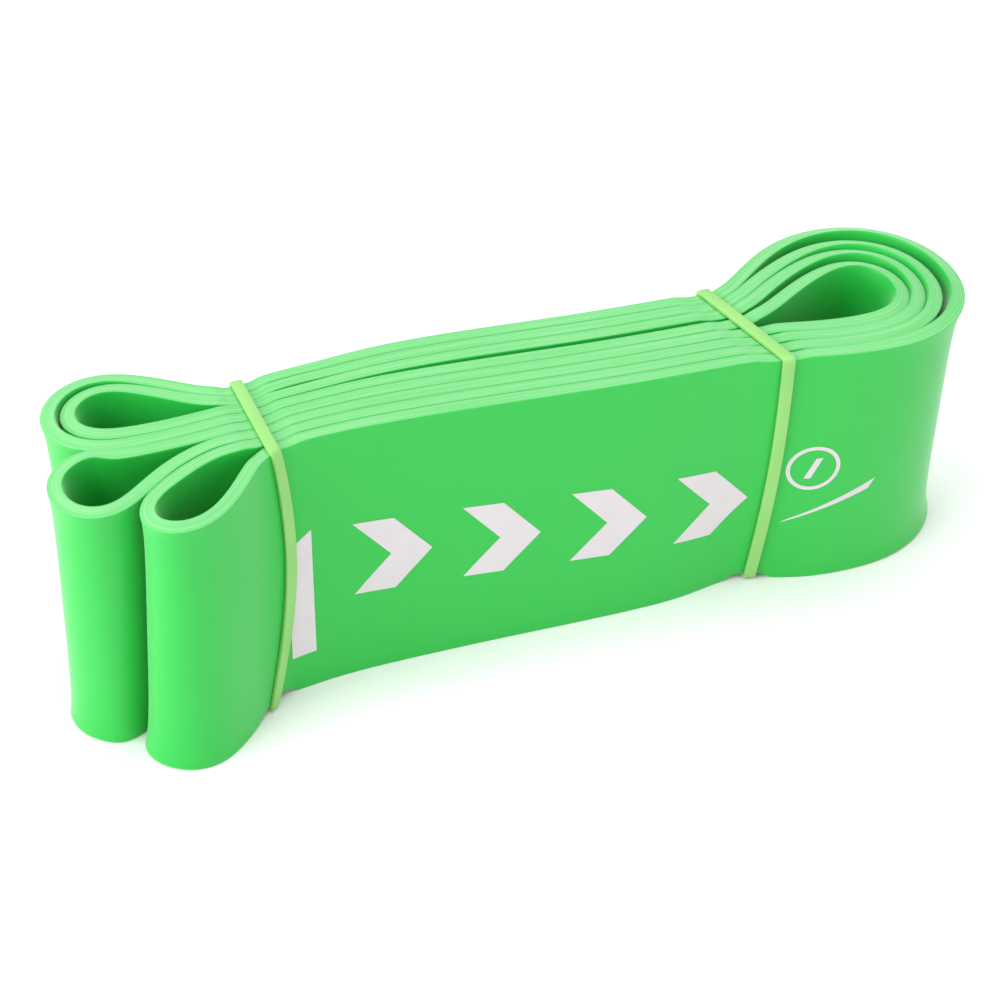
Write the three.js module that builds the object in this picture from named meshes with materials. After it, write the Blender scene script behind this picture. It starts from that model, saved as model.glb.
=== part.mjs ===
// Wide loop exercise band, folded eight layers deep, standing on its long edges
// and held in a bundle by two small elastics. Millimetres, +X along the bundle,
// +Y to the back, +Z up.
import * as THREE from 'three';

// ---- the band ----
const WIDTH = 83;            // strip width, the height it stands
const THICK = 4.3;           // bonded latex thickness
const LAYER_GAP = 0.1;       // between layers that lie against each other
const PITCH = THICK + LAYER_GAP;
const TWIST = 3.1;           // degrees the bottom edge is turned from the top edge
const TWIST_X = 22;          // where along the bundle the twist is centred
const LEFT_LEAN = 13;        // how far the left folds lean back towards the foot
const PINCH_LEAN = 3.2;      // the same under the right elastic
const FOLD_SHIFT = -2.4;     // the front-left folds' feet stand this far left of their tops
const EYE_SQUEEZE = 4.0;     // the far one is narrower at the foot by this
const BACK_SHIFT = 3;         // the back-left fold's foot stands this far right of its top
const PINCH = 0.09;          // share by which the left elastic draws the layers together

// ---- the bundle ----
const SPAN = 136;            // between the two pinched places
const LEFT = -SPAN / 2;
const RIGHT = SPAN / 2;
const FAN_GAP = 1.5;         // widest gap between the third and fourth layers
const RING_GAP = 2.8;        // outermost right loop stands off the next
const INNER_GAP = 1.9;       // innermost right loop hangs off the next

// ---- the elastics ----
const ELASTIC_WIDE = 4.2;
const ELASTIC_THICK = 1.3;
const SEAT_GAP = 0.38;       // elastic to band
const TOP_DIP = 1.0;         // how far the elastics press the top edges down
const FOOT_GAP = 0.3;        // elastic to floor
const BOTTOM_DIP = ELASTIC_THICK + SEAT_GAP + FOOT_GAP;
const DIP_REACH = 13;        // how far along the band a dip fades out
// x of each elastic where it crosses the back top, front top, front bottom, back bottom edge
const LEFT_ELASTIC = [LEFT - 10, LEFT - 6.5, LEFT - 8, LEFT - 10];
const RIGHT_ELASTIC = [RIGHT - 7, RIGHT + 5, RIGHT + 1, RIGHT - 7];
const LEFT_BOW = 5;          // how far the front run bows along the bundle
const RIGHT_BOW = 1.5;

// ---- the printed marks ----
const INK_THICK = 0.1;
const INK_GAP = 0.14;        // ink to band
const MARK_TALL = 24;
const CHEVRONS = 4;
const CHEVRON_PITCH = 32;
const CHEVRON_WIDE = 12;
const CHEVRON_TIP = 11;

// Where the fourth and fifth layers meet, left to right.
const CONTACT = [
  [LEFT - 14, -8.6], [LEFT + 2, -5.3], [-0.34 * SPAN, -2.8], [-0.18 * SPAN, -2.2],
  [0, -2.4], [0.2 * SPAN, -2.8], [0.4 * SPAN, -1.8],
];
// Inside of the innermost right loop, from its point round and back.
const EYE = [
  [0, -1.0], [10, 3.4], [20.5, 11.0], [31.5, 16.9], [41, 17.1], [45.6, 9.9],
  [45.3, 1.6], [38.5, -4.6], [25, -5.4], [12, -3.5], [0, -1.9],
].map(([x, y]) => [RIGHT + x, y]);
// Middle of the inner back-left fold: x from the pinch, y, and layers above the contact line.
const BACK_FOLD = [
  [4, -4.2, 2.5], [-4, -6.8, 2.5], [-12, -8.9, 2.5], [-20, -8.1, 2.5], [-29, -2.8, 2.5],
  [-38, 2.4, 2.5], [-46.2, 4.6, 2.5], [-54, 0.4, 2.5], [-57, -6.3, 2], [-52, -11, 1.5],
  [-42.5, -12.6, 1.5], [-31, -11.9, 1.5], [-20, -10.2, 1.5], [-10, -8.3, 1.5], [1, -5.5, 1.5],
].map(([x, y, layers]) => [LEFT + x, y + layers * PITCH]);
// The two front-left folds, each from the end of the arm it grows out of.
const FRONT_LOOP = [
  [-10, -3], [-14, -11.6], [-11, -21.4], [-3, -25], [5, -21], [12.5, -13.6], [21, -7],
];
const NEAR_LOOP = [
  [-6.6, -7.4], [-7.5, -15.6], [0.3, -20], [9.6, -16.8], [17, -8], [22.5, 1],
];

function bspline(points, steps = 12) {
  const last = points.length - 1;
  const p = [points[0], points[0], ...points, points[last], points[last]];
  const out = [];
  for (let i = 0; i + 3 < p.length; i += 1) {
    for (let k = 0; k < steps; k += 1) {
      const u = k / steps;
      const w = [
        (1 - u) ** 3 / 6,
        (3 * u ** 3 - 6 * u * u + 4) / 6,
        (-3 * u ** 3 + 3 * u * u + 3 * u + 1) / 6,
        u ** 3 / 6,
      ];
      const at = (c) => w.reduce((sum, v, j) => sum + v * p[i + j][c], 0);
      out.push({ u: i + u, x: at(0), y: at(1) });
    }
  }
  out.push({ u: p.length - 3, x: points[last][0], y: points[last][1] });
  return out;
}

// A soft-shouldered hump of the given height and half width round a centre.
function hump(u, centre, half, height) {
  return height * Math.exp(-(((u - centre) / half) ** 4));
}

// The curve a distance to the left of its travel; the distance may vary with u.
function parallel(curve, distance) {
  const out = [];
  curve.forEach((p, i) => {
    const a = curve[Math.max(i - 1, 0)];
    const b = curve[Math.min(i + 1, curve.length - 1)];
    const length = Math.hypot(b.x - a.x, b.y - a.y);
    if (length < 1e-6) {
      return;
    }
    const d = distance(p.u);
    out.push({ u: p.u, x: p.x - (b.y - a.y) / length * d, y: p.y + (b.x - a.x) / length * d });
  });
  return out;
}

// A smooth run from the end of one arm, through loose points, to the start of the next.
function bridge(arm, loose, next) {
  const a = arm[arm.length - 1];
  const before = arm[arm.length - 4];
  const b = next[0];
  const after = next[3];
  const step = (from, to, reach) => {
    const length = Math.hypot(to.x - from.x, to.y - from.y);
    return [to.x + (to.x - from.x) / length * reach, to.y + (to.y - from.y) / length * reach];
  };
  return bspline([[a.x, a.y], step(before, a, 3), ...loose, step(after, b, 3), [b.x, b.y]]);
}

function resample(path, count, weight) {
  const closed = [...path, path[0]];
  const run = [0];
  for (let i = 1; i < closed.length; i += 1) {
    const step = Math.hypot(closed[i].x - closed[i - 1].x, closed[i].y - closed[i - 1].y);
    run.push(run[i - 1] + step * (weight ? weight(i - 1) : 1));
  }
  const out = [];
  let j = 0;
  for (let k = 0; k < count; k += 1) {
    const target = run[run.length - 1] * k / count;
    while (run[j + 1] < target) {
      j += 1;
    }
    const f = (target - run[j]) / Math.max(run[j + 1] - run[j], 1e-9);
    out.push({
      x: closed[j].x + (closed[j + 1].x - closed[j].x) * f,
      y: closed[j].y + (closed[j + 1].y - closed[j].y) * f,
    });
  }
  return out;
}

function turnAt(path, i) {
  const n = path.length;
  const a = path[(i + n - 3) % n];
  const b = path[i];
  const c = path[(i + 3) % n];
  const cross = (b.x - a.x) * (c.y - b.y) - (b.y - a.y) * (c.x - b.x);
  const dot = (b.x - a.x) * (c.x - b.x) + (b.y - a.y) * (c.y - b.y);
  return Math.abs(Math.atan2(cross, dot)) / Math.hypot(c.x - a.x, c.y - a.y) * 2;
}

// The closed middle line of the whole band, seen from above.
const STATIONS = 1060;
function centreline() {
  const base = bspline([...CONTACT, ...EYE, ...[...CONTACT].reverse()]);
  const fan = (u) => hump(u, 5.6, 2.6, FAN_GAP) + hump(u, 10.8, 2.4, INNER_GAP);
  const ring = (layer, extra) => parallel(base, (u) => PITCH * (layer + 0.5) + extra(u))
    .filter((p) => p.x >= LEFT + 16);
  const ring4 = ring(0, () => 0);
  const ring3 = ring(1, fan);
  const ring2 = ring(2, (u) => fan(u) + hump(u, 12.5, 1.8, 0.5));
  const ring1 = ring(3, (u) => fan(u) + hump(u, 12.5, 1.8, 0.5) + hump(u, 12.2, 2.2, RING_GAP));

  const xy = (p) => [p.x, p.y];
  const inner = bspline([xy(ring2[0]), ...BACK_FOLD, xy(ring3[0])]);
  const crescent = (u) => hump(u, 9.8, 2.2, 0.9) + hump(u, 18, 2.2, 0.2 * FAN_GAP);
  const outer = parallel(inner, (u) => -PITCH - crescent(u)).filter((p) => p.x < LEFT + 10);

  // Arms of the front folds lie against the back fold, layer on layer.
  const against = (layers, from) => parallel(inner, (u) => -layers * PITCH - crescent(u))
    .filter((p) => p.u >= from && p.x < LEFT + 10);
  const arm5 = against(2, 11.3).reverse();
  const arm6 = against(3, 13.9);
  const end5 = arm5[arm5.length - 1];
  const front = bridge(arm5, FRONT_LOOP.map(([x, y]) => [end5.x + x, end5.y + y]), arm6);
  const wrap = [...front, ...arm6.slice(1)];
  const under = parallel(wrap, () => -PITCH);
  const turned = under.findIndex((p, i) => i > front.length * 0.5 && p.x > LEFT - 36);
  const arm7 = under.slice(turned).reverse();
  const arm8 = parallel(arm7, () => PITCH + 0.05).filter((p) => p.x > LEFT - 5).reverse();
  const end7 = arm7[arm7.length - 1];
  const near = bridge(arm7, NEAR_LOOP.map(([x, y]) => [end7.x + x, end7.y + y]), arm8);

  const back = (curve) => [...curve].reverse();
  const path = [
    ...ring1, ...back(arm8), ...back(near).slice(1, -1), ...back(arm7).slice(0, -1),
    ...back(ring2), ...inner.slice(1, -1), ...ring3, ...back(arm6).slice(1),
    ...back(front).slice(1, -1), ...back(arm5).slice(0, -1), ...back(ring4),
    ...back(outer),
  ];
  let line = resample(path, 2200);
  for (let pass = 0; pass < 14; pass += 1) {
    line = line.map((p, i) => {
      const a = line[(i + line.length - 1) % line.length];
      const b = line[(i + 1) % line.length];
      return { x: (a.x + 2 * p.x + b.x) / 4, y: (a.y + 2 * p.y + b.y) / 4 };
    });
  }
  // Close stations on the bends, and where the lean changes quickly.
  return resample(line, STATIONS, (i) => {
    const [, high] = lean(line[i].x + 1, 0);
    const [, low] = lean(line[i].x - 1, 0);
    return 0.3 + 0.6 * Math.abs(high - low) + 9 * turnAt(line, i);
  });
}

function smoothStep(value, low, high) {
  const t = Math.min(Math.max((value - low) / (high - low), 0), 1);
  return t * t * (3 - 2 * t);
}

// How far the bottom edge stands from the top edge, in x and in y. It varies smoothly
// over the plan, so layers that touch at the top touch all the way down.
function lean(x, y) {
  const fold = 1 - smoothStep(y, -27, -7);
  const alongX = FOLD_SHIFT * (1 - smoothStep(x, LEFT - 26, LEFT + 2))
    + EYE_SQUEEZE * (1 - smoothStep(x, LEFT - 63, LEFT - 45));
  const alongY = (x - TWIST_X) * Math.tan(THREE.MathUtils.degToRad(TWIST))
    + LEFT_LEAN * (1 - smoothStep(x, LEFT - 67, LEFT - 7))
    + PINCH_LEAN * Math.exp(-(((x - RIGHT + 4) / 14) ** 2));
  const backX = BACK_SHIFT * (1 - smoothStep(x, LEFT - 62, LEFT - 22));
  return [fold * alongX + (1 - fold) * backX, alongY];
}

function leant(x, y, z) {
  const [leanX, leanY] = lean(x, y);
  const share = PINCH * Math.exp(-(((x - LEFT - 2) / 20) ** 2));
  const k = 1 - z / WIDTH;
  return [x + leanX * k, y - share * (y + 6) + leanY * k];
}

// An upright face's outward normal once it leans.
function leantNormal(x, y, z, nx, ny) {
  const at = (dx, dy, dz) => new THREE.Vector3(...leant(x + dx, y + dy, z + dz), z + dz);
  const here = at(0, 0, 0);
  const along = at(-ny * 0.2, nx * 0.2, 0).sub(here);
  const up = at(0, 0, 0.2).sub(here);
  return along.cross(up).normalize();
}

// How much an edge gives at a plan point, under the run of each elastic.
function dip(x, y, ends) {
  let most = 0;
  for (const [backX, frontX] of ends) {
    const backY = 12;
    const frontY = -22;
    const length = Math.hypot(frontX - backX, frontY - backY);
    const away = Math.abs((x - backX) * (frontY - backY) - (y - backY) * (frontX - backX)) / length;
    most = Math.max(most, 1 - smoothStep(away, ELASTIC_WIDE * 0.75, DIP_REACH));
  }
  return most;
}
const TOP_RUNS = [LEFT_ELASTIC, RIGHT_ELASTIC].map((e) => [e[0], e[1]]);
const BOTTOM_RUNS = [LEFT_ELASTIC, RIGHT_ELASTIC].map((e) => [e[3], e[2]]);

function topAt(x, y) {
  return WIDTH - TOP_DIP * dip(x, y, TOP_RUNS);
}

function bottomAt(x, y) {
  return BOTTOM_DIP * dip(x, y, BOTTOM_RUNS);
}

// A closed body from a ring of sections; each section is the same loop of points.
function tube(sections) {
  const n = sections.length;
  const m = sections[0].length;
  const index = [];
  for (let i = 0; i < n; i += 1) {
    for (let j = 0; j < m; j += 1) {
      const a = i * m + j;
      const b = i * m + (j + 1) % m;
      const c = ((i + 1) % n) * m + (j + 1) % m;
      const d = ((i + 1) % n) * m + j;
      index.push(a, b, c, a, c, d);
    }
  }
  const geometry = new THREE.BufferGeometry();
  geometry.setAttribute('position', new THREE.Float32BufferAttribute(sections.flat(2), 3));
  geometry.setIndex(index);
  return geometry;
}

function bandGeometry(line) {
  const n = line.length;
  return tube(line.map((p, i) => {
    const a = line[(i + n - 1) % n];
    const b = line[(i + 1) % n];
    const length = Math.hypot(b.x - a.x, b.y - a.y);
    const nx = -(b.y - a.y) / length * THICK / 2;
    const ny = (b.x - a.x) / length * THICK / 2;
    const low = bottomAt(p.x, p.y);
    const high = topAt(p.x, p.y);
    const at = (side, part) => {
      const z = low + (high - low) * part;
      return [...leant(p.x + nx * side, p.y + ny * side, z), z];
    };
    return [at(1, 1), at(-1, 1), at(-1, 0.5), at(-1, 0), at(1, 0), at(1, 0.5)];
  }));
}

// The outside face of the bundle: y and outward normal at an x, on one side.
function faceOf(line, side) {
  const n = line.length;
  const pick = line.map((p, i) => {
    const a = line[(i + n - 1) % n];
    const b = line[(i + 1) % n];
    const length = Math.hypot(b.x - a.x, b.y - a.y);
    const nx = -(b.y - a.y) / length;
    const ny = (b.x - a.x) / length;
    const flip = Math.sign(ny) === side ? 1 : -1;
    return { x: p.x + nx * flip * THICK / 2, y: p.y + ny * flip * THICK / 2, nx: nx * flip, ny: ny * flip };
  });
  return (x) => {
    let best = null;
    for (let i = 0; i < n; i += 1) {
      const a = pick[i];
      const b = pick[(i + 1) % n];
      const inside = (a.x - x) * (b.x - x) <= 0 && Math.abs(b.x - a.x) > 1e-9;
      if (inside && a.ny * side > 0 && b.ny * side > 0) {
        const f = (x - a.x) / (b.x - a.x);
        const y = a.y + (b.y - a.y) * f;
        if (best === null || y * side > best.y * side) {
          best = { x, y, nx: a.nx + (b.nx - a.nx) * f, ny: a.ny + (b.ny - a.ny) * f };
        }
      }
    }
    return best;
  };
}

function elasticGeometry(front, back, [backTop, frontTop, frontBottom, backBottom], bow) {
  const lift = SEAT_GAP + ELASTIC_THICK / 2;
  const points = [];
  const put = (x, y, z, out) => {
    const at = new THREE.Vector3(...leant(x, y, z), z).addScaledVector(out, lift);
    points.push({ at, out });
  };
  const high = WIDTH - TOP_DIP;
  const low = BOTTOM_DIP;
  const run = 14;
  const corner = 4;
  const upright = (face, xLow, xHigh, bulge, from, to) => {
    for (let k = 0; k <= run; k += 1) {
      const f = from + (to - from) * k / run;
      const z = low + (high - low) * f;
      const p = face(xLow + (xHigh - xLow) * f + bulge * Math.sin(Math.PI * f));
      put(p.x, p.y, z, leantNormal(p.x, p.y, z, p.nx, p.ny));
    }
  };
  const bend = (face, x, z, up, from, to) => {
    const p = face(x);
    const side = leantNormal(p.x, p.y, z, p.nx, p.ny);
    for (let k = 1; k < corner; k += 1) {
      const a = (from + (to - from) * k / corner) * Math.PI / 2;
      const out = side.clone().multiplyScalar(Math.cos(a));
      out.z += Math.sin(a) * up;
      put(p.x, p.y, z, out.normalize());
    }
  };
  const level = (fromFace, fromX, toFace, toX, z, up) => {
    const a = fromFace(fromX);
    const b = toFace(toX);
    for (let k = 0; k <= run; k += 1) {
      const f = k / run;
      put(a.x + (b.x - a.x) * f, a.y + (b.y - a.y) * f, z, new THREE.Vector3(0, 0, up));
    }
  };
  upright(front, frontBottom, frontTop, bow, 0, 1);
  bend(front, frontTop, high, 1, 0, 1);
  level(front, frontTop, back, backTop, high, 1);
  bend(back, backTop, high, 1, 1, 0);
  upright(back, backBottom, backTop, 0, 1, 0);
  bend(back, backBottom, low, -1, 0, 1);
  level(back, backBottom, front, frontBottom, low, -1);
  bend(front, frontBottom, low, -1, 1, 0);

  const n = points.length;
  return tube(points.map((p, i) => {
    const along = points[(i + 1) % n].at.clone().sub(points[(i + n - 1) % n].at).normalize();
    const wide = along.clone().cross(p.out).normalize();
    const out = wide.clone().cross(along).normalize();
    const corner4 = (a, b) => p.at.clone()
      .addScaledVector(wide, a * ELASTIC_WIDE / 2)
      .addScaledVector(out, b * ELASTIC_THICK / 2)
      .toArray();
    return [corner4(1, 1), corner4(1, -1), corner4(-1, -1), corner4(-1, 1)];
  }));
}

// A film of ink on the front face; shape turns u, v in 0..1 into x and z on the face.
function inkGeometry(front, shape, across, up, closed = false) {
  const columns = closed ? across : across + 1;
  const position = [];
  const index = [];
  const id = (layer, i, j) => (layer * columns + i % columns) * (up + 1) + j;
  for (const lift of [INK_GAP, INK_GAP + INK_THICK]) {
    for (let i = 0; i < columns; i += 1) {
      for (let j = 0; j <= up; j += 1) {
        const [x, z] = shape(i / across, j / up);
        const p = front(x);
        const at = new THREE.Vector3(...leant(p.x, p.y, z), z);
        at.addScaledVector(leantNormal(x, p.y, z, p.nx, p.ny), lift);
        position.push(...at);
      }
    }
  }
  const quad = (a, b, c, d) => index.push(a, b, c, a, c, d);
  for (let i = 0; i < across; i += 1) {
    for (let j = 0; j < up; j += 1) {
      quad(id(1, i, j), id(1, i + 1, j), id(1, i + 1, j + 1), id(1, i, j + 1));
      quad(id(0, i, j), id(0, i, j + 1), id(0, i + 1, j + 1), id(0, i + 1, j));
    }
    quad(id(0, i, 0), id(0, i + 1, 0), id(1, i + 1, 0), id(1, i, 0));
    quad(id(0, i, up), id(1, i, up), id(1, i + 1, up), id(0, i + 1, up));
  }
  if (!closed) {
    for (let j = 0; j < up; j += 1) {
      quad(id(0, 0, j), id(1, 0, j), id(1, 0, j + 1), id(0, 0, j + 1));
      quad(id(0, across, j), id(0, across, j + 1), id(1, across, j + 1), id(1, across, j));
    }
  }
  const geometry = new THREE.BufferGeometry();
  geometry.setAttribute('position', new THREE.Float32BufferAttribute(position, 3));
  geometry.setIndex(index);
  return geometry;
}

const latex = new THREE.MeshStandardMaterial({ name: 'latex_green', color: 0x45d35e, roughness: 0.45 });
const pale = new THREE.MeshStandardMaterial({ name: 'elastic_pale', color: 0x9ceb86, roughness: 0.55 });
const ink = new THREE.MeshStandardMaterial({ name: 'ink_white', color: 0xf0f0f0, roughness: 0.5 });

const line = centreline();
const front = faceOf(line, -1);
const back = faceOf(line, 1);
const group = new THREE.Group();

function add(name, geometry, material) {
  const mesh = new THREE.Mesh(geometry, material);
  mesh.name = name;
  group.add(mesh);
}

add('loop_band', bandGeometry(line), latex);
add('left_elastic', elasticGeometry(front, back, LEFT_ELASTIC, LEFT_BOW), pale);
add('right_elastic', elasticGeometry(front, back, RIGHT_ELASTIC, RIGHT_BOW), pale);

// The print: a slant-topped bar, a row of chevrons, a long slanted stripe, and a ring
// with a stroke in it. The row runs a little downhill.
const foot = (x) => 24.5 - 0.06 * x;
const bar = (u, v) => [LEFT - 2.7 + 7.2 * u, 12 + v * (37 + 4.5 * u)];
add('mark_bar', inkGeometry(front, bar, 3, 6), ink);
for (let k = 0; k < CHEVRONS; k += 1) {
  const start = LEFT + 14.7 + k * CHEVRON_PITCH;
  const chevron = (u, v) => {
    const x = start + CHEVRON_WIDE * u + CHEVRON_TIP * (1 - Math.abs(2 * v - 1));
    return [x, foot(x) + MARK_TALL * v];
  };
  add(`mark_chevron_${k + 1}`, inkGeometry(front, chevron, 4, 8), ink);
}
const stripe = (u, v) => [RIGHT + 8 + 26 * u + 2 * v, 22 + 9 * u + (1.2 + 2.2 * u) * v];
add('mark_stripe', inkGeometry(front, stripe, 16, 1), ink);
const RING_X = RIGHT + 16;
const RING_Z = 42;
const ringShape = (u, v) => {
  const a = 2 * Math.PI * u;
  const r = 8 - 1.2 * v;
  return [RING_X + r * Math.cos(a), RING_Z + r * Math.sin(a)];
};
add('mark_ring', inkGeometry(front, ringShape, 32, 1, true), ink);
const stroke = (u, v) => [RING_X - 2.6 + 2 * u + 3.2 * v, RING_Z - 3.6 + 7.2 * v];
add('mark_stroke', inkGeometry(front, stroke, 2, 3), ink);

// Centre the whole on the origin and stand it on z = 0.
const box = new THREE.Box3().setFromObject(group);
const middle = box.getCenter(new THREE.Vector3());
group.children.forEach((mesh) => mesh.geometry.translate(-middle.x, -middle.y, -box.min.z));

export default group;
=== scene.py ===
import math

import bpy
import numpy as np
from mathutils import Matrix, Vector


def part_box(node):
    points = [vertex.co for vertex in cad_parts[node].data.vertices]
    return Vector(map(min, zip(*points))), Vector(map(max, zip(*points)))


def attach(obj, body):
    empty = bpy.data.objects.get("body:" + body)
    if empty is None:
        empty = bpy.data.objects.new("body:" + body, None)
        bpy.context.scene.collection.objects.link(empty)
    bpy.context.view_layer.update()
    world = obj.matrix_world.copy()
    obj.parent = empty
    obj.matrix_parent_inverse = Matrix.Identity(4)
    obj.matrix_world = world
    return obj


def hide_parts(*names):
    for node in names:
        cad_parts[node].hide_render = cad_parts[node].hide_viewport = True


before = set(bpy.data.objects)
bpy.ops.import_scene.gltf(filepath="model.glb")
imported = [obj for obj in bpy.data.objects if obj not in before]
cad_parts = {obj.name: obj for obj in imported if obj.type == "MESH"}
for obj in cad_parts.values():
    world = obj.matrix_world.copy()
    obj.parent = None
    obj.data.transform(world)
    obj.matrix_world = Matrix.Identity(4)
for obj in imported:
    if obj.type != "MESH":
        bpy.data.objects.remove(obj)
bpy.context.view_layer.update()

# ---------------------------------------------------------------------------
# The loop band: one endless strip of layered latex, dipped and bonded ply on
# ply, then cut to width, so its long edges show the plies. It is folded back
# and forth, eight layers deep, and stands on its lower cut edge.

WIDTH = 83.0  # millimetres, as every size up to the meshes
THICK = 4.3
LAYER_GAP = 0.1  # between layers that lie against each other
PITCH = THICK + LAYER_GAP
TWIST = math.radians(3.1)  # how far the lower edge is turned from the upper edge
TWIST_X = 22.0  # where along the bundle the twist is centred
LEFT_LEAN = 13.0  # how far the left folds lean back towards the foot
PINCH_LEAN = 3.2  # the same under the right elastic
FOLD_SHIFT = -3.1  # the front-left folds' feet stand this far left of their tops
EYE_SQUEEZE = 4.0  # the far one is narrower at the foot by this
BACK_SHIFT = 3.0  # the back-left fold's foot stands this far right of its top
PINCH = 0.09  # share by which the left elastic draws the layers together
SPAN = 136.0  # between the two pinched places
LEFT = -SPAN / 2
RIGHT = SPAN / 2
FAN_GAP = 1.5  # widest gap between the third and fourth layers
RING_GAP = 2.8  # the outermost right loop stands off the next
INNER_GAP = 1.9  # the innermost right loop hangs off the next

# Where the fourth and fifth layers meet, left to right.
CONTACT = [
    (LEFT - 14, -8.6), (LEFT + 2, -5.3), (-0.34 * SPAN, -2.8), (-0.18 * SPAN, -2.2),
    (0, -2.4), (0.2 * SPAN, -2.8), (0.4 * SPAN, -1.8),
]
# Inside of the innermost right loop, from its point round and back.
EYE = [
    (RIGHT + x, y)
    for x, y in [
        (0, -1.0), (10, 3.4), (20.5, 11.0), (31.5, 16.9), (41, 17.1), (45.6, 9.9),
        (45.3, 1.6), (38.5, -4.6), (25, -5.4), (12, -3.5), (0, -1.9),
    ]
]
# Middle of the inner back-left fold: x, y, and layers behind the contact line.
BACK_FOLD = [
    (LEFT + x, y + layers * PITCH)
    for x, y, layers in [
        (4, -4.2, 2.5), (-4, -6.8, 2.5), (-12, -8.9, 2.5), (-20, -8.1, 2.5),
        (-29, -2.8, 2.5), (-38, 2.4, 2.5), (-46.6, 4.6, 2.5), (-54.5, 0.4, 2.5),
        (-57.5, -6.3, 2), (-52.4, -11, 1.5), (-42.5, -12.6, 1.5), (-31, -11.9, 1.5),
        (-20, -10.2, 1.5), (-10, -8.3, 1.5), (1, -5.5, 1.5),
    ]
]
# The two front-left folds, each from the end of the arm that it grows out of.
FRONT_LOOP = [
    (-10.6, -3), (-14.6, -11.6), (-11.6, -21.4), (-3.6, -25), (4.5, -21), (12.2, -13.6),
    (21, -7),
]
NEAR_LOOP = [(-7.2, -7.4), (-8.3, -15.6), (-0.6, -20), (8.8, -16.8), (16.6, -8), (22.5, 1)]

# A run of the strip is an array of rows: u along its guide curve, x, y, bend.
U, X, Y, BEND = range(4)


def smooth_run(points, steps=12):
    """An even curve that starts and ends on the outer points and passes near the rest."""
    p = np.array([points[0], points[0], *points, points[-1], points[-1]], float)
    u = np.arange(steps) / steps
    weights = np.stack(
        [(1 - u) ** 3, 3 * u**3 - 6 * u * u + 4, -3 * u**3 + 3 * u * u + 3 * u + 1, u**3], 1
    ) / 6
    rows = [np.c_[i + u, weights @ p[i : i + 4]] for i in range(len(p) - 3)]
    return with_bend(np.vstack(rows + [[len(p) - 3, *p[-1]]]))


def with_bend(run):
    """Adds how sharply a run turns, evened out over a few millimetres."""
    moved = np.linalg.norm(np.diff(run[:, X : Y + 1], axis=0), axis=1) > 1e-6
    run = run[np.r_[True, moved]]
    steps = np.linalg.norm(np.diff(run[:, X : Y + 1], axis=0), axis=1)
    far = np.r_[0, np.cumsum(steps)]
    even = np.linspace(0, far[-1], max(int(far[-1]), 8))
    xy = np.stack([np.interp(even, far, run[:, k]) for k in (X, Y)], 1)
    a = np.gradient(xy, axis=0)
    b = np.gradient(a, axis=0)
    bend = (a[:, 0] * b[:, 1] - a[:, 1] * b[:, 0]) / np.maximum((a**2).sum(1), 1e-9) ** 1.5
    bend[:3] = bend[3]
    bend[-3:] = bend[-4]
    soft = np.exp(-0.5 * (np.arange(-9, 10) / 3.5) ** 2)
    bend = np.convolve(np.pad(bend, 9, mode="edge"), soft / soft.sum(), "valid")
    return np.c_[run, np.interp(far, even, bend)]


def hump(u, centre, half, height):
    """A flat-topped swelling along a guide curve, where layers stand apart."""
    return height * np.exp(-(((u - centre) / half) ** 4))


def beside(run, distance):
    """The run a distance to the left of this one, which may vary along it."""
    xy = run[:, X : Y + 1]
    i = np.arange(len(xy))
    step = xy[np.minimum(i + 1, len(xy) - 1)] - xy[np.maximum(i - 1, 0)]
    length = np.linalg.norm(step, axis=1)
    moving = length > 1e-6
    step = step[moving] / length[moving, None]
    out = run[moving].copy()
    off = distance(out[:, U])
    out[:, X] -= step[:, 1] * off
    out[:, Y] += step[:, 0] * off
    return out


def turned_back(run):
    """The same run, followed the other way."""
    out = run[::-1].copy()
    out[:, BEND] *= -1
    return out


def bridge(arm, loose, following):
    """A smooth fold from the end of one arm to the start of the next."""

    def beyond(a, b, reach):
        return b + (b - a) / np.linalg.norm(b - a) * reach

    end, before = arm[-1, X : Y + 1], arm[-4, X : Y + 1]
    start, after = following[0, X : Y + 1], following[3, X : Y + 1]
    loose = end + np.array(loose)
    return smooth_run([end, beyond(before, end, 3), *loose, beyond(after, start, 3), start])


def spaced(loop, count, weight=1.0):
    """The same loop with count stations, closer together where the weight is high."""
    closed = np.vstack([loop, loop[:1]])
    step = np.linalg.norm(np.diff(closed[:, :2], axis=0), axis=1) * weight
    far = np.r_[0, np.cumsum(step)]
    at = far[-1] * np.arange(count) / count
    return np.stack([np.interp(at, far, closed[:, k]) for k in range(loop.shape[1])], 1)


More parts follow.
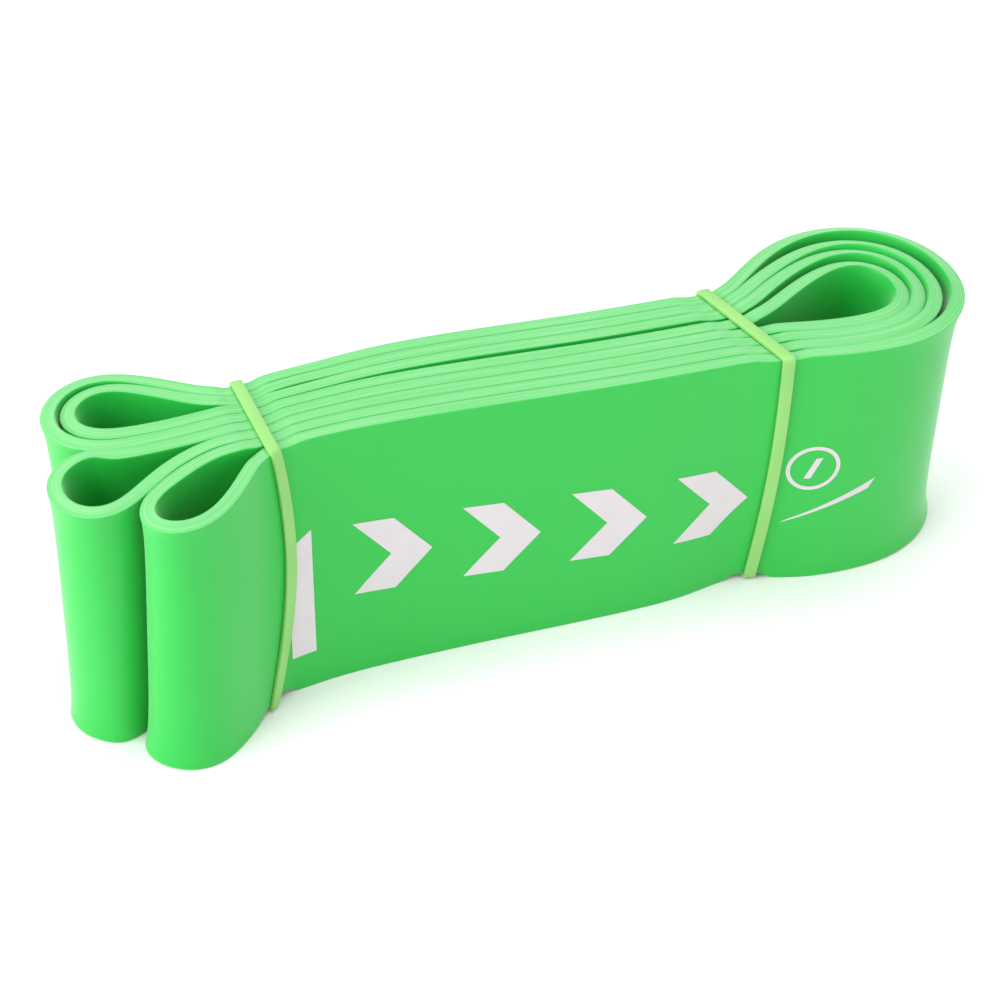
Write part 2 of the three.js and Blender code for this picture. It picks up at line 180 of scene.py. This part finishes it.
def band_loop(stations):
    """The closed middle line of the strip in plan: x, y and bend at each station."""
    guide = smooth_run([*CONTACT, *EYE, *CONTACT[::-1]])

    # The right end: four nested loops, with slack where they stand apart.
    def fan(u):
        return hump(u, 5.6, 2.6, FAN_GAP) + hump(u, 10.8, 2.4, INNER_GAP)

    def slack(u):
        return fan(u) + hump(u, 12.5, 1.8, 0.5)

    def ring(layer, extra):
        run = beside(guide, lambda u: PITCH * (layer + 0.5) + extra(u))
        return run[run[:, X] >= LEFT + 16]

    ring4 = ring(0, lambda u: 0 * u)
    ring3 = ring(1, fan)
    ring2 = ring(2, slack)
    ring1 = ring(3, lambda u: slack(u) + hump(u, 12.2, 2.2, RING_GAP))

    # The back-left fold: two layers, with a crescent of air between them.
    inner = smooth_run([ring2[0, X : Y + 1], *BACK_FOLD, ring3[0, X : Y + 1]])

    def crescent(u):
        return hump(u, 9.8, 2.2, 0.9) + hump(u, 18, 2.2, 0.2 * FAN_GAP)

    outer = beside(inner, lambda u: -PITCH - crescent(u))
    outer = outer[outer[:, X] < LEFT + 10]

    # The arms that lie in front of it, and the two folds that join them at the left.
    def against(layers, start):
        run = beside(inner, lambda u: -layers * PITCH - crescent(u))
        return run[(run[:, U] >= start) & (run[:, X] < LEFT + 10)]

    arm5 = turned_back(against(2, 11.3))
    arm6 = against(3, 13.9)
    front = bridge(arm5, FRONT_LOOP, arm6)
    wrap = np.vstack([front, arm6[1:]])
    under = beside(wrap, lambda u: -PITCH + 0 * u)
    half = len(front) // 2
    turned = half + int(np.argmax(under[half:, X] > LEFT - 36))
    arm7 = turned_back(under[turned:])
    arm8 = beside(arm7, lambda u: PITCH + 0.05 + 0 * u)
    arm8 = turned_back(arm8[arm8[:, X] > LEFT - 5])
    near = bridge(arm7, NEAR_LOOP, arm8)

    # One way round: every run, joined in the order in which the strip follows them.
    loop = np.vstack([
        ring1, turned_back(arm8), turned_back(near)[1:-1], turned_back(arm7)[:-1],
        turned_back(ring2), inner[1:-1], ring3, turned_back(arm6)[1:],
        turned_back(front)[1:-1], turned_back(arm5)[:-1], turned_back(ring4),
        turned_back(outer),
    ])[:, X:]
    loop = spaced(loop, 2200)
    for _ in range(14):
        loop = (np.roll(loop, 1, 0) + 2 * loop + np.roll(loop, -1, 0)) / 4
    xy = loop[:, :2]
    arrive = xy - np.roll(xy, 3, 0)
    leave = np.roll(xy, -3, 0) - xy
    cross = arrive[:, 0] * leave[:, 1] - arrive[:, 1] * leave[:, 0]
    turn = np.abs(np.arctan2(cross, (arrive * leave).sum(1)))
    turn = turn / np.linalg.norm(arrive + leave, axis=1) * 2
    return spaced(loop, stations, 0.35 + 9 * turn)


def smooth_step(value, low, high):
    """Rises from 0 at low to 1 at high."""
    t = np.clip((value - low) / (high - low), 0, 1)
    return t * t * (3 - 2 * t)


def settle(x, y, z):
    """Where a plan point comes to rest: drawn in by the left elastic, and leaning."""
    fold = 1 - smooth_step(y, -27, -7)  # 1 in the front folds, 0 in the back one
    lean_x = fold * (
        FOLD_SHIFT * (1 - smooth_step(x, LEFT - 26, LEFT + 2))
        + EYE_SQUEEZE * (1 - smooth_step(x, LEFT - 63, LEFT - 45))
    ) + (1 - fold) * BACK_SHIFT * (1 - smooth_step(x, LEFT - 62, LEFT - 22))
    lean_y = (
        (x - TWIST_X) * math.tan(TWIST)
        + LEFT_LEAN * (1 - smooth_step(x, LEFT - 67, LEFT - 7))
        + PINCH_LEAN * np.exp(-(((x - RIGHT + 4) / 14) ** 2))
    )
    draw = PINCH * np.exp(-(((x - LEFT - 2) / 20) ** 2))
    down = 1 - z / WIDTH
    out_x = x + lean_x * down
    out_y = y - draw * (y + 6) + lean_y * down
    return np.stack([out_x, out_y, z + 0 * x], -1)


# The elastics press the cut edges in where they cross them.
ELASTIC_THICK = 1.3
SEAT_GAP = 0.12  # elastic to band
FOOT_GAP = 0.56  # elastic to floor
TOP_DIP = 0.8
BOTTOM_DIP = ELASTIC_THICK + SEAT_GAP + FOOT_GAP
DIP_FLAT = 3.15  # a dip is this far flat to each side of its elastic's middle
DIP_REACH = 8.0  # and fades out here
FRONT_EDGE_Y = -22.0  # the bundle's front and back edges, where the elastics turn
BACK_EDGE_Y = 12.0
# x of each elastic at the back top, front top, front bottom and back bottom edge
LEFT_ELASTIC = [LEFT - 10, LEFT - 6.5, LEFT - 10.5, LEFT - 11]
RIGHT_ELASTIC = [RIGHT - 7, RIGHT + 5, RIGHT + 1, RIGHT - 7]


def dip(x, y, runs):
    """How deep the elastics press a cut edge, from 0 to 1, at a plan point."""
    most = 0 * x
    run_y = FRONT_EDGE_Y - BACK_EDGE_Y
    for back_x, front_x in runs:
        run_x = front_x - back_x
        away = (x - back_x) * run_y - (y - BACK_EDGE_Y) * run_x
        away = np.abs(away) / math.hypot(run_x, run_y)
        most = np.maximum(most, 1 - smooth_step(away, DIP_FLAT, DIP_REACH))
    return most


# A tight bend makes the strip's cut edges splay outwards, as bent rubber does.
FLARE_REACH = 6.0  # how far in from an edge the splay reaches
LEFT_FLARE = 13.0  # splay at the edge for each unit of bend
RIGHT_FLARE = 22.0

STATIONS = 1800
loop = band_loop(STATIONS)
step = np.roll(loop[:, :2], -1, 0) - np.roll(loop[:, :2], 1, 0)
step /= np.linalg.norm(step, axis=1)[:, None]
normal = np.stack([-step[:, 1], step[:, 0]], 1)
along = np.linalg.norm(np.diff(np.vstack([loop, loop[:1]])[:, :2], axis=0), axis=1)
along = np.r_[0, np.cumsum(along)[:-1]]
flare = RIGHT_FLARE + (LEFT_FLARE - RIGHT_FLARE) * (1 - smooth_step(loop[:, 0], -60, 20))
splay = -flare * loop[:, 2]  # to the left of travel


def edge_share(z):
    """How much of the splay the strip has at a height, from its upper and lower edge."""
    return np.exp(-(WIDTH - z) / FLARE_REACH), np.exp(-z / FLARE_REACH)


def strip_points(side, z):
    """Points at every station, side from -1 to 1 through the thickness."""
    off = side * THICK / 2
    upper, lower = edge_share(z)
    tilt = np.arctan(splay * (upper - lower) / FLARE_REACH)
    b = loop[:, :2] + normal * off
    p = settle(b[:, 0], b[:, 1], z)
    shift = splay * (upper + lower) - off * (1 - np.cos(tilt))
    p[:, :2] += normal * shift[:, None]
    p[:, 2] -= off * np.sin(tilt)
    return p


top_runs = [(back, front) for back, front, _, _ in (LEFT_ELASTIC, RIGHT_ELASTIC)]
bottom_runs = [(back, front) for _, _, front, back in (LEFT_ELASTIC, RIGHT_ELASTIC)]
top_z = WIDTH - TOP_DIP * dip(loop[:, 0], loop[:, 1], top_runs)
bottom_z = BOTTOM_DIP * dip(loop[:, 0], loop[:, 1], bottom_runs)

# Rows on a face: distance in from the cut edge, and how far the corner is rounded off.
face_insets = [0.35, 0.8, 1.6, 2.8, 4.4, 6.5, 9.5, 13.5, 19.0, 27.0]
face_rows = [(0.12, 0.03)] + [(inset, 0.0) for inset in face_insets]
# Rows across a cut edge: place through the thickness, and depth below the edge.
PLIES = 4
CORNER = (0.955, 0.03)
PLY_GROOVE = 0.06
PLY_TOP = 0.012
PLY_FLAT = 0.09  # half of the flat on each ply's top, as a share of half the thickness
edge_rows = [(-CORNER[0], CORNER[1])]
for ply in range(PLIES):
    middle = -1 + (2 * ply + 1) / PLIES
    if ply:
        edge_rows.append((middle - 1 / PLIES, PLY_GROOVE))
    edge_rows += [(middle - PLY_FLAT, PLY_TOP), (middle + PLY_FLAT, PLY_TOP)]
edge_rows.append(CORNER)

section = []  # each: points, place through the thickness, 1 on a cut edge


def add_row(side, z, cut):
    section.append((strip_points(side, z), side, cut))


for inset, rounding in reversed(face_rows):
    add_row(1 - rounding, top_z - inset, 0.0)
for side, depth in reversed(edge_rows):
    add_row(side, top_z - depth, 1.0)
for inset, rounding in face_rows:
    add_row(-1 + rounding, top_z - inset, 0.0)
for inset, rounding in reversed(face_rows):
    add_row(-1 + rounding, bottom_z + inset, 0.0)
for side, depth in edge_rows:
    add_row(side, bottom_z + depth, 1.0)
for inset, rounding in face_rows:
    add_row(1 - rounding, bottom_z + inset, 0.0)

rows = np.stack([s[0] for s in section], 1)  # station, row, xyz
rows[:, :, 2] = np.maximum(rows[:, :, 2], 0.0)  # its own weight beds the lower edge flat


def strip_middle():
    """The middle of the strip's box in plan millimetres, before its edges splay."""
    found = []
    for side in (-1, 1):
        b = loop[:, :2] + normal * side * THICK / 2
        for z in (0.0, WIDTH):
            found.append(settle(b[:, 0], b[:, 1], z))
    found = np.vstack(found)
    return (found.min(0) + found.max(0)) / 2


# The frame has that middle at the middle of the band's box, in metres.
low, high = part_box("loop_band")
origin = strip_middle() - np.add(low, high) / 2 * 1000
origin[2] = 0.0


def metres(points):
    return (np.asarray(points) - origin) / 1000


def new_piece(name, points, faces):
    mesh = bpy.data.meshes.new(name)
    mesh.from_pydata(points, [], faces)
    mesh.update()
    made = bpy.data.objects.new(name, mesh)
    bpy.context.scene.collection.objects.link(made)
    return made


def ring_mesh(name, sections, stored=None):
    """A closed tube through the sections, with values stored at its points."""
    count, size = sections.shape[:2]
    i, j = np.meshgrid(np.arange(count), np.arange(size), indexing="ij")
    a, b = i * size + j, i * size + (j + 1) % size
    c, d = ((i + 1) % count) * size + (j + 1) % size, ((i + 1) % count) * size + j
    faces = np.stack([a, b, c, d], -1).reshape(-1, 4)
    made = new_piece(name, metres(sections.reshape(-1, 3)).tolist(), faces.tolist())
    for key, values in (stored or {}).items():
        layer = made.data.attributes.new(key, "FLOAT", "POINT")
        layer.data.foreach_set("value", np.asarray(values, np.float32).ravel())
    made.data.polygons.foreach_set("use_smooth", np.ones(len(faces), bool))
    made.data.update()
    return made


grid = rows.shape[:2]
band = ring_mesh(
    "latex_loop_band",
    rows,
    {
        "through": np.broadcast_to([s[1] for s in section], grid),
        "cut": np.broadcast_to([s[2] for s in section], grid),
        "along": np.broadcast_to(along[:, None], grid),
    },
)


class Wire:
    """A shader value that takes part in plain arithmetic."""

    def __init__(self, maker, socket):
        self.maker = maker
        self.socket = socket

    def _math(self, operation, a, b):
        return self.maker.node("ShaderNodeMath", {"operation": operation}, [a, b])

    def __add__(self, other):
        return self._math("ADD", self, other)

    __radd__ = __add__

    def __mul__(self, other):
        return self._math("MULTIPLY", self, other)

    __rmul__ = __mul__


class Finish:
    """A material and its Principled shader."""

    def __init__(self, name):
        self.material = bpy.data.materials.new(name)
        self.material.use_nodes = True
        self.tree = self.material.node_tree
        self.shader = self.tree.nodes["Principled BSDF"]

    def node(self, kind, settings=None, inputs=(), out=0):
        """Adds a node: its settings first, then the values or wires of its sockets."""
        made = self.tree.nodes.new(kind)
        for key, value in (settings or {}).items():
            if key == "stops":
                ramp = made.color_ramp
                while len(ramp.elements) < len(value):
                    ramp.elements.new(0.5)
                for element, (at, colour) in zip(ramp.elements, value):
                    element.position = at
                    element.color = colour
            else:
                setattr(made, key, value)
        pairs = inputs.items() if isinstance(inputs, dict) else enumerate(inputs)
        for key, value in pairs:
            self.plug(made.inputs[key], value)
        return Wire(self, made.outputs[out])

    def plug(self, socket, value):
        if isinstance(value, Wire):
            self.tree.links.new(value.socket, socket)
        else:
            socket.default_value = value

    def feed(self, name, value):
        """Gives one of the shader's own sockets a plain value or a wire."""
        self.plug(self.shader.inputs[name], value)

    def stored(self, name):
        """A value that the mesh holds at its points."""
        return self.node("ShaderNodeAttribute", {"attribute_name": name}, out="Fac")

    def blend(self, share, a, b):
        """Mixes two colours; a colour Mix has them on its sockets 6 and 7."""
        return self.node(
            "ShaderNodeMix", {"data_type": "RGBA"}, {0: share, 6: a, 7: b}, out=2
        )

    def noise(self, vector, scale, detail):
        return self.node(
            "ShaderNodeTexNoise", {}, {"Vector": vector, "Scale": scale, "Detail": detail}
        )

    def ramp(self, value, stops):
        """A ramp of plain values, each stop a place and its value."""
        stops = [(at, (v, v, v, 1)) for at, v in stops]
        return self.node("ShaderNodeValToRGB", {"stops": stops}, [value])

    def wear(self, piece):
        piece.data.materials.clear()
        piece.data.materials.append(self.material)


GREEN = (0.013, 0.48, 0.054, 1)
DEEP_GREEN = (0.010, 0.45, 0.046, 1)
LIT_EDGE_GREEN = (0.19, 0.55, 0.21, 1)  # painted light: the cut edges are painted paler than the faces, for the glow of the upturned top edges where light enters them from two sides
LINE_GREEN = (0.045, 0.47, 0.085, 1)
BORDER_GREEN = (0.055, 0.50, 0.09, 1)
STREAK_ALONG = 0.012  # streaks run far along the strip, and are narrow across its edge
STREAK_ACROSS = 2.3

latex = Finish("green_latex")
place = latex.node("ShaderNodeTexCoord", out="Object")
through = latex.stored("through")
cut = latex.stored("cut")
run = latex.stored("along")
# Faint lines between the plies on the cut edge, uneven along the strip.
ply_place = latex.node(
    "ShaderNodeCombineXYZ", {}, [run * STREAK_ALONG, through * STREAK_ACROSS, 0.0]
)
streak = latex.ramp(latex.noise(ply_place, 1.7, 1.5), [(0.40, 1.0), (0.60, 0.0)])
ply = latex.node(
    "ShaderNodeMath", {"operation": "FRACT"}, [through * (PLIES / 2) + (PLIES / 2)]
)
line = latex.ramp(ply, [(0.0, 1.0), (0.28, 0.0), (0.72, 0.0), (1.0, 1.0)])
off_middle = latex.node("ShaderNodeMath", {"operation": "ABSOLUTE"}, [through])
border = latex.ramp(off_middle, [(0.70, 0.0), (0.82, 1.0), (0.91, 1.0), (0.95, 0.0)])
cloud = latex.noise(place, 14.0, 3.0)
face_colour = latex.blend(cloud, DEEP_GREEN, GREEN)
# The cut edge's colour: real ply lines and streaks over a paler green that is painted light,
# the glow of the lit top edges.
edge_plies_and_glow = latex.blend(streak * 0.45 + line * 0.2, LIT_EDGE_GREEN, LINE_GREEN)
edge_plies_and_glow = latex.blend(border * 0.7, edge_plies_and_glow, BORDER_GREEN)
latex.feed("Base Color", latex.blend(cut, face_colour, edge_plies_and_glow))
grain = latex.noise(place, 900.0, 2.0)
latex.feed("Roughness", 0.46 + grain * 0.08 + cut * 0.12)
skin = latex.node(
    "ShaderNodeBump", {}, {"Strength": 0.06, "Distance": 0.0002, "Height": grain}
)
latex.feed("Normal", skin)
latex.feed("Subsurface Weight", 0.12)
latex.feed("Subsurface Radius", (0.25, 1.0, 0.3))
latex.feed("Subsurface Scale", 0.003)
latex.feed("Specular IOR Level", 0.5)
latex.feed("Sheen Weight", 0.5)  # talc on the skin
latex.feed("Sheen Roughness", 0.38)
latex.feed("Sheen Tint", (0.85, 1.0, 0.88, 1))
latex.wear(band)
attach(band, "band")
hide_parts("loop_band")

# ---------------------------------------------------------------------------
# The elastics: two flat endless rubber rings, stretched round the folded strip
# near its ends. Each lies across the cut edges and down both outer faces.

ELASTIC_CORNER = 0.32
LEFT_WIDE = 3.4  # the tighter ring is the narrower one
RIGHT_WIDE = 3.6
LEFT_BOW = 4.5  # how far the front run bows along the bundle
RIGHT_BOW = 1.5
RUN_STEPS = 60  # stations along a straight run of an elastic
TURN_STEPS = 8  # and round a corner


def outer_face(which):
    """The bundle's outside at an x: y, outward normal and splay, front -1 or back 1."""
    flip = np.where(np.sign(normal[:, 1]) == which, 1.0, -1.0)
    out = normal * flip[:, None]
    skin_line = loop[:, :2] + out * THICK / 2
    ahead, out_ahead = np.roll(skin_line, -1, 0), np.roll(out, -1, 0)
    splay_out = splay * flip
    good = (out[:, 1] * which > 0) & (out_ahead[:, 1] * which > 0)

    def at(x):
        across = (skin_line[:, 0] - x) * (ahead[:, 0] - x) <= 0
        i = np.flatnonzero(across & good & (np.abs(ahead[:, 0] - skin_line[:, 0]) > 1e-9))
        f = (x - skin_line[i, 0]) / (ahead[i, 0] - skin_line[i, 0])
        y = skin_line[i, 1] + (ahead[i, 1] - skin_line[i, 1]) * f
        best = np.argmax(y * which)
        i, f = i[best], f[best]
        n = out[i] + (out_ahead[i] - out[i]) * f
        return np.array([x, y[best]]), n / np.linalg.norm(n), splay_out[i]

    return at


front_face, back_face = outer_face(-1), outer_face(1)


def on_face(face, x, z):
    """A point of the settled face and its outward normal there."""
    p, n, out = face(x)

    def beside_it(dx, dy, height):
        q = settle(np.array([p[0] + dx]), np.array([p[1] + dy]), height)[0]
        q[:2] += n * out * sum(edge_share(height))
        return q

    small = 0.2
    here = beside_it(0, 0, z)
    sideways = beside_it(-n[1] * small, n[0] * small, z) - here
    upwards = beside_it(0, 0, z + small) - here
    normal_here = np.cross(sideways, upwards)
    return here, normal_here / np.linalg.norm(normal_here)


def rounded_strip(wide, thick, corner, steps=3):
    """The section of a flat ring, with its corners rounded."""
    profile = []
    for quarter, (a, b) in enumerate([(1, 1), (-1, 1), (-1, -1), (1, -1)]):
        for k in range(steps + 1):
            t = math.pi / 2 * (quarter + k / steps)
            profile.append((
                a * (wide / 2 - corner) + corner * math.cos(t),
                b * (thick / 2 - corner) + corner * math.sin(t),
            ))
    return profile


def elastic(name, crossings, bow, width):
    """A ring up the front face, over the top, down the back and along the bottom."""
    back_top, front_top, front_bottom, back_bottom = crossings
    high = WIDTH - TOP_DIP
    low = BOTTOM_DIP
    points = []  # each: a point of the band under the elastic, and the way out of it

    def upright(face, x_low, x_high, bulge, start, end):
        for f in np.linspace(start, end, RUN_STEPS):
            x = x_low + (x_high - x_low) * f + bulge * math.sin(math.pi * f)
            points.append(on_face(face, x, low + (high - low) * f))

    def turn(face, x, z, up, start, end):
        p, n = on_face(face, x, z)
        for f in np.linspace(start, end, TURN_STEPS)[1:-1]:
            a = f * math.pi / 2
            out = n * math.cos(a) + np.array([0, 0, up]) * math.sin(a)
            points.append((p, out / np.linalg.norm(out)))

    def level(face_a, x_a, face_b, x_b, z, up):
        a, _ = on_face(face_a, x_a, z)
        b, _ = on_face(face_b, x_b, z)
        for f in np.linspace(0, 1, RUN_STEPS):
            points.append((a + (b - a) * f, np.array([0, 0, float(up)])))

    upright(front_face, front_bottom, front_top, bow, 0, 1)
    turn(front_face, front_top, high, 1, 0, 1)
    level(front_face, front_top, back_face, back_top, high, 1)
    turn(back_face, back_top, high, 1, 1, 0)
    upright(back_face, back_bottom, back_top, 0, 1, 0)
    turn(back_face, back_bottom, low, -1, 0, 1)
    level(back_face, back_bottom, front_face, front_bottom, low, -1)
    turn(front_face, front_bottom, low, -1, 1, 0)

    lift = SEAT_GAP + ELASTIC_THICK / 2
    at = np.array([p + n * lift for p, n in points])
    out = np.array([n for _, n in points])
    for _ in range(5):
        at = (np.roll(at, 1, 0) + 2 * at + np.roll(at, -1, 0)) / 4
        out = (np.roll(out, 1, 0) + 2 * out + np.roll(out, -1, 0)) / 4
    ahead = np.roll(at, -1, 0) - np.roll(at, 1, 0)
    ahead /= np.linalg.norm(ahead, axis=1)[:, None]
    across = np.cross(ahead, out)
    across /= np.linalg.norm(across, axis=1)[:, None]
    out = np.cross(across, ahead)
    profile = rounded_strip(width, ELASTIC_THICK, ELASTIC_CORNER)
    sections = np.stack([at + across * a + out * b for a, b in profile], 1)
    return ring_mesh(name, sections)


left_elastic = elastic("left_elastic_ring", LEFT_ELASTIC, LEFT_BOW, LEFT_WIDE)
right_elastic = elastic("right_elastic_ring", RIGHT_ELASTIC, RIGHT_BOW, RIGHT_WIDE)

ELASTIC_GREEN = (0.20, 0.51, 0.115, 1)
PALE_GREEN = (0.31, 0.61, 0.19, 1)
pale = Finish("pale_elastic")
place = pale.node("ShaderNodeTexCoord", out="Object")
mottle = pale.noise(place, 60.0, 3.0)
pale.feed("Base Color", pale.blend(mottle, ELASTIC_GREEN, PALE_GREEN))
fine = pale.noise(place, 700.0, 2.0)
pale.feed("Roughness", 0.45 + fine * 0.15)
skin = pale.node(
    "ShaderNodeBump", {}, {"Strength": 0.12, "Distance": 0.0002, "Height": fine}
)
pale.feed("Normal", skin)
pale.feed("Subsurface Weight", 0.2)
pale.feed("Subsurface Radius", (0.5, 1.0, 0.3))
pale.feed("Subsurface Scale", 0.002)
for ring, body, node in (
    (left_elastic, "left_ring", "left_elastic"),
    (right_elastic, "right_ring", "right_elastic"),
):
    pale.wear(ring)
    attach(ring, body)
    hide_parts(node)

# ---------------------------------------------------------------------------
# The printed marks: plain shapes in white rubber ink on the front face, put on
# flat before the strip was folded: a bar, chevrons, a stripe, and a ring with a
# stroke in it. The row runs a little downhill.

ROW_FOOT = 24.5  # height of the chevrons' feet at the middle of the bundle
ROW_FALL = 0.06  # and their fall along it
BAR_X = LEFT - 4.3
BAR_FOOT = 12.0
BAR_TALL = 37.0
BAR_SLANT = 4.5  # the bar's right side is taller by this
BAR_WIDE = 7.0
CHEVRONS = 4
CHEVRON_X = LEFT + 14.7
CHEVRON_PITCH = 32.0
CHEVRON_TALL = 24.0
CHEVRON_WIDE = 12.0
CHEVRON_TIP = 11.0
STRIPE_X = RIGHT + 8
STRIPE_Z = 22.0
STRIPE_LONG = 26.0
STRIPE_RISE = 9.0
STRIPE_THIN = 1.2
STRIPE_SWELL = 2.2
STRIPE_SLANT = 2.0
RING_X = RIGHT + 16
RING_Z = 42.0
RING_RADIUS = 8.0
RING_LINE = 1.2
STROKE_WIDE = 2.0
STROKE_TALL = 7.2
STROKE_SLANT = 3.2
INK_LIFT = (0.03, 0.09)  # the film's under and outer sides, off the latex


def ink_film(name, shape, across, up, closed=False):
    """A thin film on the front face; shape gives x, z from shares across and up."""
    columns = across if closed else across + 1
    points = []
    for lift in INK_LIFT:
        for i in range(columns):
            for j in range(up + 1):
                x, z = shape(i / across, j / up)
                p, n = on_face(front_face, x, z)
                points.append(p + n * lift)

    def at(layer, i, j):
        return (layer * columns + i % columns) * (up + 1) + j

    faces = []
    for i in range(across):
        for j in range(up):
            faces.append((at(1, i, j), at(1, i + 1, j), at(1, i + 1, j + 1), at(1, i, j + 1)))
            faces.append((at(0, i, j), at(0, i, j + 1), at(0, i + 1, j + 1), at(0, i + 1, j)))
        faces.append((at(0, i, 0), at(0, i + 1, 0), at(1, i + 1, 0), at(1, i, 0)))
        faces.append((at(0, i, up), at(1, i, up), at(1, i + 1, up), at(0, i + 1, up)))
    if not closed:
        for j in range(up):
            faces.append((at(0, 0, j), at(1, 0, j), at(1, 0, j + 1), at(0, 0, j + 1)))
            faces.append(
                (at(0, across, j), at(0, across, j + 1), at(1, across, j + 1), at(1, across, j))
            )
    return new_piece(name, metres(points).tolist(), faces)


def bar(u, v):
    return BAR_X + BAR_WIDE * u, BAR_FOOT + v * (BAR_TALL + BAR_SLANT * u)


def chevron(start):
    def shape(u, v):
        x = start + CHEVRON_WIDE * u + CHEVRON_TIP * (1 - abs(2 * v - 1))
        return x, ROW_FOOT - ROW_FALL * x + CHEVRON_TALL * v

    return shape


def stripe(u, v):
    x = STRIPE_X + STRIPE_LONG * u + STRIPE_SLANT * v
    return x, STRIPE_Z + STRIPE_RISE * u + (STRIPE_THIN + STRIPE_SWELL * u) * v


def ring_outline(u, v):
    a = 2 * math.pi * u
    r = RING_RADIUS - RING_LINE * v
    return RING_X + r * math.cos(a), RING_Z + r * math.sin(a)


def stroke(u, v):
    x = RING_X + STROKE_WIDE * (u - 0.5) + STROKE_SLANT * (v - 0.5)
    return x, RING_Z + STROKE_TALL * (v - 0.5)


films = [("mark_bar", ink_film("ink_bar", bar, 10, 24))]
for k in range(CHEVRONS):
    outline = chevron(CHEVRON_X + k * CHEVRON_PITCH)
    film = ink_film(f"ink_chevron_{k + 1}", outline, 12, 24)
    films.append((f"mark_chevron_{k + 1}", film))
films.append(("mark_stripe", ink_film("ink_stripe", stripe, 72, 3)))
films.append(("mark_ring", ink_film("ink_ring", ring_outline, 72, 2, closed=True)))
films.append(("mark_stroke", ink_film("ink_stroke", stroke, 4, 8)))

INK_GREY = (0.60, 0.55, 0.58, 1)
INK_WHITE = (0.68, 0.63, 0.66, 1)
ink = Finish("white_ink")
place = ink.node("ShaderNodeTexCoord", out="Object")
speck = ink.noise(place, 120.0, 4.0)
ink.feed("Base Color", ink.blend(speck, INK_GREY, INK_WHITE))
ink.feed("Roughness", 0.5)
for node, film in films:
    ink.wear(film)
    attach(film, "band")
    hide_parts(node)

# ---------------------------------------------------------------------------
# The studio: a plain pale paper floor and an even white surround, lit by large soft
# lamps: a key high at the front left, one low at the left, one above, and a weaker
# fill at the front right. The camera looks down on the front left of the bundle.

FLOOR_REACH = 6.0  # metres, as the lamps' places
corners = [(-1, -1), (1, -1), (1, 1), (-1, 1)]
floor_points = [(FLOOR_REACH * x, FLOOR_REACH * y, 0) for x, y in corners]
floor = new_piece("floor", floor_points, [(0, 1, 2, 3)])
paper = Finish("pale_paper")
paper.feed("Base Color", (0.90, 0.90, 0.90, 1))
paper.feed("Roughness", 0.9)
paper.wear(floor)


def soft_lamp(name, place, aim, size, power):
    """A square lamp of a size in metres and a power in watts."""
    data = bpy.data.lights.new(name, "AREA")
    data.shape = "SQUARE"
    data.size = size
    data.energy = power
    lamp = bpy.data.objects.new(name, data)
    lamp.location = place
    lamp.rotation_mode = "QUATERNION"
    lamp.rotation_quaternion = (Vector(aim) - Vector(place)).to_track_quat("-Z", "Y")
    bpy.context.scene.collection.objects.link(lamp)


soft_lamp("key", (-1.3, -0.6, 1.1), (0, 0, 0.03), 0.9, 14)
soft_lamp("left", (-0.9, 0.0, 0.2), (0, 0, 0.04), 0.45, 4.2)
soft_lamp("top", (0.1, 0.2, 1.6), (0, 0, 0.03), 1.2, 16)
soft_lamp("fill", (0.7, -1.5, 0.7), (0, 0, 0.03), 1.0, 6)

world = bpy.data.worlds.new("surround")
bpy.context.scene.world = world
world.use_nodes = True
world.node_tree.nodes["Background"].inputs["Color"].default_value = (1, 1, 1, 1)
world.node_tree.nodes["Background"].inputs["Strength"].default_value = 0.66

CAMERA_X = -197.95  # millimetres in plan, as the band's points
CAMERA_Y = -637.14
CAMERA_HEIGHT = 553.75
CAMERA_TILT = 0.66323  # radians below the level
CAMERA_ROLL = 0.018664
CAMERA_TURN = 0.295156  # to the right of straight ahead
CAMERA_LENS = 105.49
camera_data = bpy.data.cameras.new("camera")
camera_data.sensor_width = 36.0
camera_data.lens = CAMERA_LENS
camera_data.clip_start = 0.05
camera_data.clip_end = 50.0
camera = bpy.data.objects.new("camera", camera_data)
bpy.context.scene.collection.objects.link(camera)
bpy.context.scene.camera = camera
heading = Matrix.Rotation(-CAMERA_TURN, 3, "Z")
level_right = heading @ Vector((1, 0, 0))
level_down = heading @ Vector((0, -math.sin(CAMERA_TILT), -math.cos(CAMERA_TILT)))
roll_cos = math.cos(CAMERA_ROLL)
roll_sin = math.sin(CAMERA_ROLL)
rightwards = level_right * roll_cos - level_down * roll_sin
upwards = -(level_right * roll_sin + level_down * roll_cos)
backwards = rightwards.cross(upwards)
aim = Matrix((rightwards, upwards, backwards)).transposed().to_4x4()
spot = Vector(metres([CAMERA_X, CAMERA_Y, CAMERA_HEIGHT]))
camera.matrix_world = Matrix.Translation(spot) @ aim

bpy.context.scene.view_settings.view_transform = "Standard"
